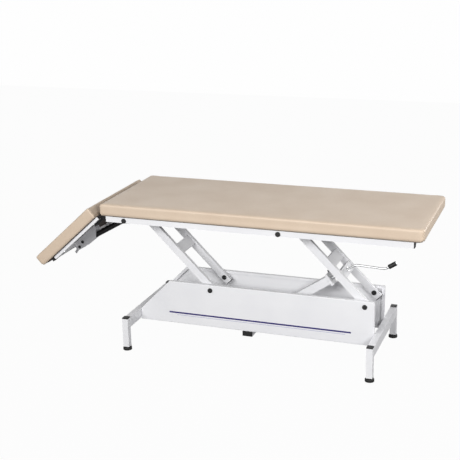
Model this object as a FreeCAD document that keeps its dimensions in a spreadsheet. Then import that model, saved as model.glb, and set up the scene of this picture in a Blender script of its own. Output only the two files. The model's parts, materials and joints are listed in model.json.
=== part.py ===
import FreeCAD, Part
import math
import os
import re
import Sketcher

# A height-adjustable treatment table. Millimetres, degrees, +Z up, +X towards the foot end.
# The origin is on the floor, under the middle of the whole table as it stands.
# Parts of an arm, the head section, the spindle and the gas spring are each drawn lying level
# in a frame of their own, with the pivot at the origin, and are then turned into place.

os.makedirs("parts", exist_ok=True)
doc = FreeCAD.newDocument("treatment_table")
sheet = doc.addObject("Spreadsheet::Sheet", "dims")

# Driving sizes first, then what is worked out from them (those start with an equals sign).
SIZES = [
    ("tube_wall", "2", "wall of every tube"),
    ("plug_slack", "0.2", "side play of a plastic plug in its tube"),
    ("plug_flange", "4", "part of a plug that stands out of its tube"),
    ("plug_deep", "15", "part of a plug that is inside its tube"),
    ("head_cap_long", "20", "part of a head tube's outer plug that stands out of it"),
    ("run_slack", "0.05", "radial clearance of every pin that turns in a bush"),
    ("side_gap", "0.3", "play between pieces that turn side by side"),
    ("base_middle", "112.3", "middle of the base, from the middle of the whole table"),
    ("base_half_length", "598", "middle of the base to the inner face of a foot crossbar"),
    ("crossbar_wide", "30", "foot crossbar along X"),
    ("crossbar_high", "50", "foot crossbar along Z"),
    ("crossbar_top", "165", "top of the crossbars and posts"),
    ("crossbar_half_span", "255", "half the crossbar's length along Y"),
    ("post_wide", "30", "square post of each foot"),
    ("post_cap_high", "5", "cap on top of a post"),
    ("foot_radius", "22", "round foot"),
    ("foot_high", "14", "round foot without its stem"),
    ("foot_bevel", "4", "sloping rim of the foot"),
    ("stem_radius", "4", "threaded stem of the foot"),
    ("stem_long", "32", "stem above the foot"),
    ("panel_out", "123", "middle plane to the outer face of a side panel"),
    ("sheet_thick", "3", "folded sheet of the side panels"),
    ("flange_deep", "18", "folded edge of the side panels"),
    ("panel_lip", "14", "second fold of that edge, back over the panel's inner face"),
    ("panel_low", "108", "lower edge of the side panels"),
    ("panel_high", "327", "upper edge of the side panels"),
    ("panel_corner", "161", "size of the cut corner at the head end"),
    ("pivot_inset", "46", "base pivot of the foot-end arm, in from the end of the side panels"),
    ("pivot_spacing", "772", "between the two arms' base pivots"),
    ("pivot_z", "300", "height of both base pivots"),
    ("bolt_radius", "6", "bolt of a base pivot"),
    ("bolt_head_radius", "10", "flat head and nut of that bolt"),
    ("bolt_head_thick", "2", "thickness of that head and nut"),
    ("cap_radius", "12", "round plastic cover of a bolt or axle end"),
    ("cap_thick", "4", "thickness of that cover"),
    ("spacer_radius", "12", "spacer between side panel and arm"),
    ("foot_tube_shift", "21", "middle of the tube that joins the side panels, from the strut's pivot"),
    ("foot_tube_wide", "50", "that tube along X"),
    ("foot_tube_high", "25", "that tube along Z"),
    ("arm_angle", "45", "slope of the lifting arms in the stored position"),
    ("arm_long", "525", "lower pivot to upper axle"),
    ("arm_high", "36", "arm rail across its slope"),
    ("arm_wide", "20", "arm rail along Y"),
    ("arm_inner", "78", "middle plane to the inner face of an arm rail"),
    ("arm_tail", "33", "arm rail beyond its lower pivot"),
    ("arm_cross_at", "255.5", "lower pivot to the middle of the arm's cross tube"),
    ("arm_cross_wide", "55", "cross tube along the arm"),
    ("arm_cross_high", "25", "cross tube across the arm"),
    ("bush_wall", "2", "wall of the plastic bushes of the lower pivots"),
    ("axle_bush_wall", "3", "wall of the plastic bushes of the upper axles"),
    ("axle_radius", "8", "upper axles"),
    ("swivel_along", "177.2", "lower pivot to the swivel bar, along the arm"),
    ("swivel_off", "4", "swivel bar above the middle line of the arm"),
    ("swivel_high", "46", "swivel bar across the spindle"),
    ("swivel_thick", "20", "swivel bar along the spindle"),
    ("trunnion_radius", "7", "round ends of the swivel bar"),
    ("swivel_play", "2", "gap between the swivel bar and each arm rail"),
    ("strut_angle", "33.5", "slope of the spindle in the stored position"),
    ("strut_long", "524.7", "swivel bar to the strut's lower pivot"),
    ("strut_wide", "40", "square strut tube"),
    ("strut_wall", "2.5", "wall of the strut tube"),
    ("strut_tail", "12", "strut tube beyond its lower pivot"),
    ("nut_at", "81.3", "swivel bar to the near face of the nut block"),
    ("nut_thick", "12", "nut block along the spindle"),
    ("nut_wide", "60", "nut block, square"),
    ("nut_sleeve_long", "30", "round part of the nut inside the strut tube"),
    ("spindle_radius", "8", "threaded spindle"),
    ("spindle_long", "260", "spindle below the swivel bar"),
    ("collar_radius", "13", "thrust collars on each side of the swivel bar"),
    ("collar_thick", "5", "thickness of those collars"),
    ("strut_pin_radius", "8", "cross pin at the strut's lower end"),
    ("bracket_thick", "5", "plates of the strut's foot bracket"),
    ("bracket_play", "2", "gap between the strut and each bracket plate"),
    ("strut_hole_radius", "11.8", "holes of the foot bracket, wide enough for the strut's drift"),
    ("strut_hole_shift_x", "2.4", "those holes stand to one side of the cross pin"),
    ("strut_hole_drop", "2.1", "and below it"),
    ("crank_radius", "5", "bent rod of the crank"),
    ("crank_throw", "83", "spindle axis to the middle of the grip"),
    ("crank_slope", "36", "slope of the crank's middle length"),
    ("crank_first", "59", "swivel bar to the first bend of the crank"),
    ("crank_bend_radius", "30", "bends of the crank"),
    ("grip_radius", "11", "plastic grip of the crank"),
    ("grip_start", "191", "swivel bar to the near end of the grip"),
    ("grip_long", "39", "length of the grip"),
    ("grip_collar_thick", "3", "collar that keeps the grip on"),
    ("rail_size", "30", "square rails and cross tubes of the top frame"),
    ("rail_out", "281", "middle plane to the outer face of a top rail"),
    ("rail_drop", "11", "upper axle above the underside of the top rails"),
    ("rail_past_head", "94.8", "top rails beyond the axle at the head end"),
    ("rail_past_foot", "617.2", "top rails beyond the axle at the foot end"),
    ("cross_tube_in", "306.2", "head-end axle to the next inner cross tube"),
    ("cross_tube_out", "254.2", "foot-end axle to the next inner cross tube"),
    ("board_thick", "8", "boards under the cushions"),
    ("board_half_wide", "288", "half width of the boards"),
    ("board_past_head", "11", "main board beyond the top frame at the head end"),
    ("board_past_foot", "37", "main board beyond the top frame at the foot end"),
    ("board_corner", "20", "corner radius of the boards in plan"),
    ("cushion_gap", "0.3", "between a board and its cushion"),
    ("cushion_thick", "53.7", "thickness of both cushions"),
    ("cushion_half_wide", "300", "half width of both cushions"),
    ("cushion_over", "12", "cushions beyond their boards at the ends"),
    ("cushion_corner", "12", "corner radius of the cushions in plan"),
    ("cushion_foot_corner", "28", "corner radius of the main cushion's foot end"),
    ("cushion_round", "10", "rounding of the upper rim"),
    ("cushion_round_low", "6", "rounding of the lower rim"),
    ("screw_radius", "2.5", "screws that hold the boards"),
    ("screw_head_radius", "5", "heads of those screws"),
    ("screw_head_thick", "2.5", "thickness of those heads"),
    ("screw_bite", "6", "screw inside the board"),
    ("screw_slack", "0.25", "play of a screw in a rail"),
    ("hinge_out", "29", "head hinge beyond the end of the top frame"),
    ("hinge_up", "8", "head hinge above the underside of the top rails"),
    ("head_drop_angle", "42", "slope of the head section below level in the stored position"),
    ("hinge_pin_radius", "5", "pins of the head hinge"),
    ("hinge_plate_radius", "12", "round end of the hinge plates and lugs"),
    ("hinge_plate_thick", "5", "hinge plates and lugs"),
    ("hinge_plate_gap", "1", "between a plate and its lug"),
    ("pin_head_radius", "8", "flat heads of the pins"),
    ("pin_head_thick", "3", "thickness of those heads"),
    ("head_gap", "7", "hinge to the near end of the head frame"),
    ("head_long", "340", "length of the head frame's side tubes"),
    ("head_tube_high", "15", "tubes of the head frame across the board"),
    ("head_board_gap", "18", "hinge to the near edge of the head board"),
    ("head_board_long", "382", "length of the head board"),
    ("lug_tail", "65", "hinge to the far end of a lug"),
    ("spring_side", "75", "middle plane to the gas spring and the release lever"),
    ("spring_along", "280", "gas spring's pin on the head section, from the hinge"),
    ("spring_under", "1.2", "the same pin, below the hinge when the head section is level"),
    ("spring_in", "18", "gas spring's pin on the top frame, in from the frame's end"),
    ("spring_hang", "36.2", "the same pin, below the underside of the rails"),
    ("spring_pin_radius", "5", "pin at the rod's eye"),
    ("eye_radius", "10", "round eye of the gas rod"),
    ("eye_thick", "12", "thickness of both eyes"),
    ("eye_seat", "2", "rod or neck inside its eye"),
    ("gas_rod_radius", "5", "rod of the gas spring"),
    ("gas_rod_long", "152", "rod from its eye's centre to its piston"),
    ("piston_thick", "8", "piston of the gas spring"),
    ("gas_cylinder_radius", "14", "cylinder of the gas spring"),
    ("gas_cylinder_wall", "2", "wall of the cylinder"),
    ("gas_cylinder_start", "77", "rod's eye to the near end of the cylinder"),
    ("gas_cylinder_long", "197", "length of the cylinder"),
    ("gas_end_thick", "8", "closed ends of the cylinder"),
    ("gas_pin_radius", "4", "pin at the cylinder's eye"),
    ("spring_hole_radius", "13.6", "holes of the gas spring's bracket, wide enough for its drift"),
    ("spring_hole_shift_x", "6.3", "those holes stand to one side of the pin"),
    ("spring_hole_drop", "3.8", "and below it"),
    ("cheek_thick", "4", "plates that hold the gas spring"),
    ("cheek_half_gap", "18", "gas spring's plane to the near face of a head plate"),
    ("hanger_half_gap", "20", "gas spring's plane to the near face of a hanging plate"),
    ("lever_along", "313", "release lever's pivot on the head section, from the hinge"),
    ("lever_under", "9.2", "the same pivot, below the hinge when the head section is level"),
    ("lever_pin_radius", "4", "pin of the release lever"),
    ("lever_long", "55", "pivot to the tip of the lever"),
    ("lever_wide", "12", "width of the lever"),
    ("lever_thick", "4", "thickness of the lever"),
    ("base_left", "= base_middle - base_half_length", "head end of the side panels"),
    ("base_right", "= base_middle + base_half_length", "foot end of the side panels"),
    ("pivot_right_x", "= base_right - pivot_inset", "base pivot of the foot-end arm"),
    ("pivot_left_x", "= pivot_right_x - pivot_spacing", "base pivot of the head-end arm"),
    ("post_left_x", "= base_left - crossbar_wide / 2", "middle of a post at the head end"),
    ("post_right_x", "= base_right + crossbar_wide / 2", "middle of a post at the foot end"),
    ("post_y", "= crossbar_half_span + post_wide / 2", "middle of a post"),
    ("post_low", "= foot_high + plug_flange", "lower end of a post"),
    ("crossbar_low", "= crossbar_top - crossbar_high", "underside of a crossbar"),
    ("panel_in", "= panel_out - sheet_thick", "inner face of a side panel"),
    ("arm_outer", "= arm_inner + arm_wide", "outer face of an arm rail"),
    ("axle_left_x", "= pivot_left_x - arm_long * cos(arm_angle)", "upper axle at the head end"),
    ("axle_right_x", "= pivot_right_x - arm_long * cos(arm_angle)", "upper axle at the foot end"),
    ("axle_z", "= pivot_z + arm_long * sin(arm_angle)", "height of the upper axles"),
    ("swivel_x", "= pivot_right_x - swivel_along * cos(arm_angle) + swivel_off * sin(arm_angle)",
     "swivel bar"),
    ("swivel_z", "= pivot_z + swivel_along * sin(arm_angle) + swivel_off * cos(arm_angle)",
     "swivel bar"),
    ("strut_foot_x", "= swivel_x - strut_long * cos(strut_angle)", "strut's lower pivot"),
    ("strut_foot_z", "= swivel_z - strut_long * sin(strut_angle)", "strut's lower pivot"),
    ("foot_tube_x", "= strut_foot_x - foot_tube_shift", "middle of the tube under the side panels"),
    ("foot_tube_top", "= panel_low", "top of the tube under the side panels"),
    ("rail_in", "= rail_out - rail_size", "inner face of a top rail"),
    ("rail_low", "= axle_z - rail_drop", "underside of the top rails"),
    ("rail_high", "= rail_low + rail_size", "upper side of the top rails"),
    ("board_top", "= rail_high + board_thick", "upper side of the main board"),
    ("top_left", "= axle_left_x - rail_past_head", "head end of the top frame"),
    ("top_right", "= axle_right_x + rail_past_foot", "foot end of the top frame"),
    ("cross_left_x", "= axle_left_x + cross_tube_in", "middle of one inner cross tube"),
    ("cross_right_x", "= axle_right_x + cross_tube_out", "middle of the other inner cross tube"),
    ("board_left", "= top_left - board_past_head", "head end of the main board"),
    ("board_right", "= top_right + board_past_foot", "foot end of the main board"),
    ("hinge_x", "= top_left - hinge_out", "head hinge"),
    ("hinge_z", "= rail_low + hinge_up", "head hinge"),
    ("head_tube_top", "= rail_size - hinge_up", "upper side of the head frame above its hinge"),
    ("head_tube_low", "= head_tube_top - head_tube_high", "underside of the head frame"),
    ("head_start", "= -head_gap", "near end of the head frame from its hinge"),
    ("head_end", "= head_start - head_long", "outer end of the head frame from its hinge"),
    ("head_board_start", "= -head_board_gap", "near edge of the head board from the hinge"),
    ("spring_y", "= -spring_side", "plane of the gas spring and the release lever"),
    ("spring_head_x", "= -spring_along", "gas spring's pin on the head section"),
    ("spring_head_z", "= -spring_under", "gas spring's pin on the head section"),
    ("lever_x", "= -lever_along", "release lever's pivot on the head section"),
    ("lever_z", "= -lever_under", "release lever's pivot on the head section"),
    ("head_angle", "= -head_drop_angle", "turn of the head section about +Y"),
    ("spring_low_x", "= hinge_x + spring_head_x * cos(head_angle) + spring_head_z * sin(head_angle)",
     "gas spring's lower pin in the stored position"),
    ("spring_low_z", "= hinge_z - spring_head_x * sin(head_angle) + spring_head_z * cos(head_angle)",
     "gas spring's lower pin in the stored position"),
    ("spring_high_x", "= top_left + spring_in", "gas spring's upper pin"),
    ("spring_high_z", "= rail_low - spring_hang", "gas spring's upper pin"),
    ("spring_long", "= sqrt((spring_high_x - spring_low_x) ^ 2 + (spring_high_z - spring_low_z) ^ 2)",
     "distance between those pins"),
    ("spring_angle", "= atan((spring_high_z - spring_low_z) / (spring_high_x - spring_low_x))",
     "slope of the gas spring"),
]

WORDS = set()
for row, (word, value, note) in enumerate(SIZES, 1):
    sheet.set("A%d" % row, word)
    sheet.set("B%d" % row, value)
    sheet.set("C%d" % row, note)
    sheet.setAlias("B%d" % row, word)
    WORDS.add(word)
doc.recompute()


def bound(text):
    # the same formula with each named size read from the sheet
    return re.sub(r"[a-z_]+", lambda m: "dims." + m.group(0) if m.group(0) in WORDS else m.group(0), text)


def number(text):
    # the present value of a formula, for starting shapes that the solver then drives
    names = {word: float(getattr(sheet, word)) for word in WORDS if re.search(r"\b%s\b" % word, text)}
    for word in sorted(names, key=len, reverse=True):
        text = re.sub(r"\b%s\b" % word, "(%r)" % names[word], text)
    return float(FreeCAD.Units.Quantity(text).Value)


def plus(first, second):
    return "(%s) + (%s)" % (first, second)


def minus(first, second):
    return "(%s) - (%s)" % (first, second)


def box(name, x, y, z):
    # a block from (low, high) pairs along the three axes
    item = doc.addObject("Part::Box", name)
    for axis, size, (low, high) in (("x", "Length", x), ("y", "Width", y), ("z", "Height", z)):
        item.setExpression("Placement.Base." + axis, bound(low))
        item.setExpression(size, bound(minus(high, low)))
    return item


TURNS = {
    "x": FreeCAD.Rotation(FreeCAD.Vector(0, 1, 0), 90),
    "y": FreeCAD.Rotation(FreeCAD.Vector(1, 0, 0), -90),
    "z": FreeCAD.Rotation(),
}


def rod(name, along, radius, ends, at):
    # a round bar along one axis; at holds its place on the other two axes, in X, Y, Z order
    item = doc.addObject("Part::Cylinder", name)
    item.Placement = FreeCAD.Placement(FreeCAD.Vector(), TURNS[along])
    item.setExpression("Radius", bound(radius))
    item.setExpression("Height", bound(minus(ends[1], ends[0])))
    item.setExpression("Placement.Base." + along, bound(ends[0]))
    for axis, place in zip([a for a in "xyz" if a != along], at):
        item.setExpression("Placement.Base." + axis, bound(place))
    return item


def group(name, items):
    item = doc.addObject("Part::Compound", name)
    item.Links = items
    return item


def join(name, items):
    item = doc.addObject("Part::MultiFuse", name)
    item.Shapes = items
    item.Refine = True
    return item


def cut(name, base, tools):
    item = doc.addObject("Part::Cut", name)
    item.Base = base
    item.Tool = tools[0] if len(tools) == 1 else group(name + "_tools", tools)
    return item


def ring(name, along, outer, inner, ends, at):
    return cut(name, rod(name + "_outer", along, outer, ends, at), [rod(name + "_bore", along, inner, ends, at)])


def tube(name, along, x, y, z, wall="tube_wall", holes=()):
    # a square or rectangular tube, open at both ends
    inner = {"x": x, "y": y, "z": z}
    for axis in "xyz":
        if axis != along:
            low, high = inner[axis]
            inner[axis] = (plus(low, wall), minus(high, wall))
    bore = box(name + "_bore", inner["x"], inner["y"], inner["z"])
    return cut(name, box(name + "_outer", x, y, z), [bore] + list(holes))


def plug(name, along, sign, face, first, second, flange="plug_flange"):
    # a plastic plug: a flange on the tube's end and a block inside the tube
    # first and second are the tube's outer (low, high) pairs on the other two axes
    away = (face, plus(face, flange)) if sign > 0 else (minus(face, flange), face)
    inside = (minus(face, "plug_deep"), face) if sign > 0 else (face, plus(face, "plug_deep"))
    play = "tube_wall + plug_slack"
    small = [(plus(low, play), minus(high, play)) for low, high in (first, second)]
    sides = {"x": ("x", "yz"), "y": ("y", "xz"), "z": ("z", "xy")}[along]
    outer = {sides[0]: away, sides[1][0]: first, sides[1][1]: second}
    inner = {sides[0]: inside, sides[1][0]: small[0], sides[1][1]: small[1]}
    head = box(name + "_flange", outer["x"], outer["y"], outer["z"])
    core = box(name + "_core", inner["x"], inner["y"], inner["z"])
    return join(name, [head, core])


def body(name):
    return doc.addObject("PartDesign::Body", name)


def sketch(owner, name, plane, offset, outline=(), circles=()):
    # a sketch on one of the body's own planes, moved along that plane's normal
    # plane XZ looks along -Y, so there a positive offset is towards -Y
    item = owner.newObject("Sketcher::SketchObject", name)
    for flat in owner.Origin.OriginFeatures:
        if flat.Role == plane + "_Plane":
            item.AttachmentSupport = [(flat, "")]
    item.MapMode = "FlatFace"
    item.setExpression("AttachmentOffset.Base.z", bound(offset))
    count = len(outline)
    spots = [FreeCAD.Vector(number(across), number(up), 0) for across, up in outline]
    for n in range(count):
        item.addGeometry(Part.LineSegment(spots[n], spots[(n + 1) % count]), False)
    for n in range(count):
        item.addConstraint(Sketcher.Constraint("Coincident", n, 2, (n + 1) % count, 1))
    for n, (across, up) in enumerate(outline):
        pin_down(item, n, 1, across, up)
    for across, up, radius in circles:
        centre = FreeCAD.Vector(number(across), number(up), 0)
        shape = Part.Circle(centre, FreeCAD.Vector(0, 0, 1), number(radius))
        index = item.addGeometry(shape, False)
        pin_down(item, index, 3, across, up)
        rule = item.addConstraint(Sketcher.Constraint("Radius", index, number(radius)))
        item.setExpression("Constraints[%d]" % rule, bound(radius))
    return item


def pin_down(item, index, point, across, up):
    # the place of one point of a sketch, driven by the sheet
    for kind, value in (("DistanceX", across), ("DistanceY", up)):
        rule = item.addConstraint(Sketcher.Constraint(kind, -1, 1, index, point, number(value)))
        item.setExpression("Constraints[%d]" % rule, bound(value))


def pad(owner, name, profile, length):
    item = owner.newObject("PartDesign::Pad", name)
    item.Profile = profile
    item.setExpression("Length", bound(length))
    owner.Tip = item
    return item


def pocket(owner, name, profile, length, flip=False):
    item = owner.newObject("PartDesign::Pocket", name)
    item.Profile = profile
    item.setExpression("Length", bound(length))
    item.Reversed = flip
    owner.Tip = item
    return item


def plate(name, plane, ends, outline, circles=()):
    # a flat plate with holes, padded between two places along its plane's normal
    owner = body(name)
    low, high = ends
    offset = "-(%s)" % high if plane == "XZ" else low
    shape = sketch(owner, name + "_outline", plane, offset, outline)
    pad(owner, name + "_pad", shape, minus(high, low))
    if circles:
        holes = sketch(owner, name + "_holes", plane, offset, (), circles)
        pocket(owner, name + "_pocket", holes, minus(high, low), True)
    return owner


def soften(owner, name, radius, wanted):
    # rounds the edges of the body so far that pass a test
    doc.recompute()
    base = owner.Tip
    edges = ["Edge%d" % n for n, edge in enumerate(base.Shape.Edges, 1) if wanted(edge)]
    item = owner.newObject("PartDesign::Fillet", name)
    item.Base = (base, edges)
    item.setExpression("Radius", bound(radius))
    owner.Tip = item
    doc.recompute()
    return item


def is_along(edge, axis):
    if edge.Curve.TypeId != "Part::GeomLine":
        return False
    return abs(abs(edge.tangentAt(edge.FirstParameter).dot(axis)) - 1) < 1e-6


def lies_at(edge, axis, place):
    box_of_edge = edge.BoundBox
    low = {"y": box_of_edge.YMin, "z": box_of_edge.ZMin}[axis]
    high = {"y": box_of_edge.YMax, "z": box_of_edge.ZMax}[axis]
    return abs(low - place) < 1e-4 and abs(high - place) < 1e-4


NODES = []


def node(item, label, place=None):
    # names a finished sub-part and puts it in its place: (x, z, turn about +Y)
    item.Label = label
    if place:
        x, z, turn = place
        where = "placement(vector(%s; 0; %s); rotation(vector(0; 1; 0); %s))"
        item.setExpression("Placement", bound(where % (x, z, turn)))
    NODES.append(item)


ENDS = (("left", -1), ("right", 1))
SIDES = (("near", -1), ("far", 1))


def span(sign, low, high):
    # a (low, high) pair on the wanted side of the middle plane
    return (low, high) if sign > 0 else ("-(%s)" % high, "-(%s)" % low)


def signed(sign, value):
    return value if sign > 0 else "-(%s)" % value


# The base

def foot_crossbars():
    for end, low in (("left", "base_left - crossbar_wide"), ("right", "base_right")):
        x = (low, plus(low, "crossbar_wide"))
        y = ("-crossbar_half_span", "crossbar_half_span")
        node(tube("crossbar_" + end, "y", x, y, ("crossbar_low", "crossbar_top")), "foot_crossbar_" + end)


def foot_posts():
    posts, caps, inserts, feet = [], [], [], []
    for end in ("left", "right"):
        for side, sy in SIDES:
            tail = "_%s_%s" % (end, side)
            middle = ("post_%s_x" % end, signed(sy, "post_y"))
            x = (minus(middle[0], "post_wide / 2"), plus(middle[0], "post_wide / 2"))
            y = (minus(middle[1], "post_wide / 2"), plus(middle[1], "post_wide / 2"))
            posts.append(tube("post" + tail, "z", x, y, ("post_low", "crossbar_top")))
            caps.append(plug("post_cap" + tail, "z", 1, "crossbar_top", x, y, "post_cap_high"))
            insert = plug("post_insert" + tail, "z", -1, "post_low", x, y)
            hole = rod("insert_hole" + tail, "z", "stem_radius", ("foot_high", "post_low + plug_deep"), middle)
            inserts.append(cut("insert" + tail, insert, [hole]))
            feet.append(round_foot("foot" + tail, middle))
    node(group("posts", posts), "foot_posts")
    node(group("caps", caps), "post_caps")
    node(group("inserts", inserts), "foot_inserts")
    node(group("feet", feet), "round_feet")


def round_foot(name, middle):
    owner = body(name)
    outline = [("0", "0"), ("foot_radius", "0"), ("foot_radius", "foot_high - foot_bevel"),
               ("foot_radius - foot_bevel", "foot_high"), ("stem_radius", "foot_high"),
               ("stem_radius", "foot_high + stem_long"), ("0", "foot_high + stem_long")]
    shape = sketch(owner, name + "_outline", "XZ", "0", outline)
    item = owner.newObject("PartDesign::Revolution", name + "_turned")
    item.Profile = shape
    item.ReferenceAxis = (shape, ["V_Axis"])
    item.Angle = 360
    owner.Tip = item
    owner.setExpression("Placement.Base.x", bound(middle[0]))
    owner.setExpression("Placement.Base.y", bound(middle[1]))
    return owner


def panel_outline(inset):
    # the side panel's outline with its cut corner, every side moved in by the same distance
    left, right = plus("base_left", inset), minus("base_right", inset)
    low, high = plus("panel_low", inset), minus("panel_high", inset)
    corner = "panel_corner - (%s) * (2 - sqrt(2))" % inset
    return [(left, low), (right, low), (right, high), (plus(left, corner), high), (left, minus(high, corner))]


def side_panels():
    # folded sheet: a flat face, a flange all round and a lip on each flange
    pivots = [("pivot_left_x", "pivot_z", "bolt_radius"), ("pivot_right_x", "pivot_z", "bolt_radius")]
    for side, sign in SIDES:
        owner = body("panel_" + side)
        open_side = "panel_out - flange_deep"
        start = open_side if sign < 0 else "-panel_out"
        shape = sketch(owner, "panel_outline_" + side, "XZ", start, panel_outline("0"))
        pad(owner, "panel_block_" + side, shape, "flange_deep")
        opening = sketch(owner, "panel_opening_" + side, "XZ", signed(-sign, open_side), panel_outline("panel_lip"))
        pocket(owner, "panel_lips_" + side, opening, "sheet_thick", sign < 0)
        under_lip = signed(-sign, plus(open_side, "sheet_thick"))
        hollow = sketch(owner, "panel_hollow_" + side, "XZ", under_lip, panel_outline("sheet_thick"))
        pocket(owner, "panel_folds_" + side, hollow, "flange_deep - sheet_thick * 2", sign < 0)
        face = sign * number("panel_out")
        soften(owner, "panel_bends_" + side, "sheet_thick", lambda edge: lies_at(edge, "y", face))
        holes = sketch(owner, "panel_pivots_" + side, "XZ", signed(-sign, "panel_out"), (), pivots)
        pocket(owner, "panel_drilled_" + side, holes, "sheet_thick", sign > 0)
        node(owner, "side_panel_" + side)


def middle_tube():
    x = ("foot_tube_x - foot_tube_wide / 2", "foot_tube_x + foot_tube_wide / 2")
    z = ("foot_tube_top - foot_tube_high", "foot_tube_top")
    node(tube("foot_tube", "y", x, ("-panel_out", "panel_out"), z), "mid_cross_tube")
    plugs = [plug("foot_tube_plug_" + side, "y", sign, signed(sign, "panel_out"), x, z) for side, sign in SIDES]
    node(group("foot_tube_plugs", plugs), "mid_tube_plugs")


def strut_bracket():
    # a folded bracket open towards the strut: two plates joined by a web behind the strut
    left = "foot_tube_x - foot_tube_wide / 2 + 2"
    right = "foot_tube_x + foot_tube_wide / 2"
    outline = [(left, "foot_tube_top"), (right, "foot_tube_top"), ("strut_foot_x + 26", "foot_tube_top + 20"),
               ("strut_foot_x + 26", "strut_foot_z + 12"), ("strut_foot_x + 12", "strut_foot_z + 26"),
               ("strut_foot_x - 12", "strut_foot_z + 26"), (left, "strut_foot_z + 4")]
    hole = ("strut_foot_x + strut_hole_shift_x", "strut_foot_z - strut_hole_drop", "strut_hole_radius")
    inner = "strut_wide / 2 + bracket_play"
    pieces = []
    for side, sign in SIDES:
        ends = span(sign, inner, inner + " + bracket_thick")
        pieces.append(plate("bracket_plate_" + side, "XZ", ends, outline, [hole]))
    web = box("bracket_web", (left, left + " + bracket_thick"), ("-(%s)" % inner, inner),
              ("foot_tube_top", "strut_foot_z + 4"))
    node(join("strut_bracket", pieces + [web]), "strut_foot_bracket")


def base_pivots():
    bolts, spacers, covers = [], [], []
    for end, place in (("left", "pivot_left_x"), ("right", "pivot_right_x")):
        at = (place, "pivot_z")
        for side, sign in SIDES:
            tail = "_%s_%s" % (end, side)
            nut_end = "arm_inner - side_gap"
            shaft = rod("bolt_shaft" + tail, "y", "bolt_radius", span(sign, nut_end, "panel_out"), at)
            head = rod("bolt_head" + tail, "y", "bolt_head_radius",
                       span(sign, "panel_out", "panel_out + bolt_head_thick"), at)
            nut = rod("bolt_nut" + tail, "y", "bolt_head_radius",
                      span(sign, nut_end + " - bolt_head_thick", nut_end), at)
            bolts.append(join("bolt" + tail, [shaft, head, nut]))
            spacers.append(ring("spacer" + tail, "y", "spacer_radius", "bolt_radius",
                                span(sign, "arm_outer + side_gap", "panel_in"), at))
            for place_name, low, high, grip in (
                    ("out", "panel_out", "panel_out + cap_thick", ("panel_out", "panel_out + bolt_head_thick")),
                    ("in", nut_end + " - cap_thick", nut_end, (nut_end + " - bolt_head_thick", nut_end))):
                cover = rod("cover_%s%s" % (place_name, tail), "y", "cap_radius", span(sign, low, high), at)
                seat = rod("cover_seat_%s%s" % (place_name, tail), "y", "bolt_head_radius",
                           span(sign, grip[0], grip[1]), at)
                covers.append(cut("cover_cut_%s%s" % (place_name, tail), cover, [seat]))
    node(group("bolts", bolts), "base_pivot_bolts")
    node(group("spacers", spacers), "base_pivot_spacers")
    node(group("covers", covers), "base_pivot_caps")


# The two lifting arms, each drawn level, pointing to -X from its lower pivot

def lifting_arm(end, pivot, carries_spindle):
    place = (pivot, "pivot_z", "arm_angle")
    half = "arm_high / 2"
    bushes, plugs = [], []
    for side, sign in SIDES:
        tail = "_%s_%s" % (end, side)
        y = span(sign, "arm_inner", "arm_outer")
        block = box("arm_block" + tail, ("-arm_long", "arm_tail"), y, ("-" + half, half))
        nose = rod("arm_nose" + tail, "y", half, y, ("-arm_long", "0"))
        bore = box("arm_bore" + tail, ("-arm_long - 4", "arm_tail"), (plus(y[0], "tube_wall"),
                   minus(y[1], "tube_wall")), ("-%s + tube_wall" % half, half + " - tube_wall"))
        holes = [bore, rod("arm_low_hole" + tail, "y", "bolt_radius + run_slack + bush_wall", y, ("0", "0")),
                 rod("arm_high_hole" + tail, "y", "axle_radius + run_slack + axle_bush_wall", y,
                     ("-arm_long", "0"))]
        if carries_spindle:
            holes.append(rod("swivel_hole" + tail, "y", "trunnion_radius + run_slack", y,
                             ("-swivel_along", "swivel_off")))
        rail = cut("arm_rail" + tail, join("arm_solid" + tail, [block, nose]), holes)
        node(rail, "arm_%s_rail_%s" % (end, side), place)
        bushes.append(ring("low_bush" + tail, "y", "bolt_radius + run_slack + bush_wall",
                           "bolt_radius + run_slack", y, ("0", "0")))
        bushes.append(ring("high_bush" + tail, "y", "axle_radius + run_slack + axle_bush_wall",
                           "axle_radius + run_slack", y, ("-arm_long", "0")))
        plugs.append(plug("arm_plug" + tail, "x", 1, "arm_tail", y, ("-" + half, half)))
    cross = tube("arm_cross_" + end, "y", ("-arm_cross_at - arm_cross_wide / 2",
                 "-arm_cross_at + arm_cross_wide / 2"), ("-arm_inner", "arm_inner"),
                 ("-arm_cross_high / 2", "arm_cross_high / 2"))
    node(cross, "arm_%s_cross_tube" % end, place)
    node(group("bushes_" + end, bushes), "arm_%s_bushes" % end, place)
    node(group("arm_plugs_" + end, plugs), "arm_%s_plugs" % end, place)


# The spindle, drawn along +X from the middle of the swivel bar

SPINDLE_PLACE = ("swivel_x", "swivel_z", "-strut_angle")


def swivel_bar():
    wide = "arm_inner - swivel_play"
    bar = box("swivel_block", ("-swivel_thick / 2", "swivel_thick / 2"), ("-(%s)" % wide, wide),
              ("-swivel_high / 2", "swivel_high / 2"))
    ends = rod("swivel_ends", "y", "trunnion_radius", ("-arm_outer", "arm_outer"), ("0", "0"))
    hole = rod("swivel_bore", "x", "spindle_radius + run_slack", ("-swivel_thick / 2", "swivel_thick / 2"),
               ("0", "0"))
    node(cut("swivel", join("swivel_solid", [bar, ends]), [hole]), "swivel_bar", SPINDLE_PLACE)


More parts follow.
